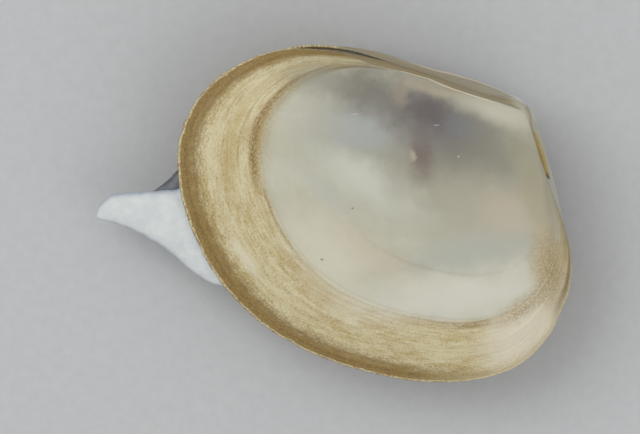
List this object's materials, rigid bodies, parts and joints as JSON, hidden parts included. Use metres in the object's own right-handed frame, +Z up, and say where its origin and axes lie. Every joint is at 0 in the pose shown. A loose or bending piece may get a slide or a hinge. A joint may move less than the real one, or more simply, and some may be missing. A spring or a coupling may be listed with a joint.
{
  "type": "clam shell",
  "caption": "Whole thin-shelled clam with short rounded-triangular hinged valves, an outer amber ligament and a white blade-like foot out of the front gape.",
  "frame": {"origin": "on the surface that the shell rests on, under the middle of the bounding box", "axes": "+X from the foot towards the hinge, along the longest extent; +Y towards the upper (dorsal) edge; +Z up, out of the left valve"},
  "size_m": [0.0518, 0.0374, 0.0171],
  "materials": {
    "shell": "satin, milky grey-white early growth, cream later growth with fine brown growth lines and a brown skin at the margin",
    "ligament": "translucent amber, slightly glossy",
    "flesh": "opaque bluish white, soft matt, like wet rubber",
    "mantle": "thin, grey, half translucent"
  },
  "bodies": {
    "lower_shell": {"right_valve": "shell", "soft_body": "flesh", "ligament": "ligament", "mantle_edge": "mantle"},
    "upper_shell": {"left_valve": "shell"}
  },
  "joints": [
    {"name": "valve_hinge", "type": "hinge", "parent": "lower_shell", "child": "upper_shell", "pos_m": [0.02281, 0.00748, 0.01031], "axis": [-0.3287, 0.942, 0.0675], "range_deg": [0, 30]}
  ]
}
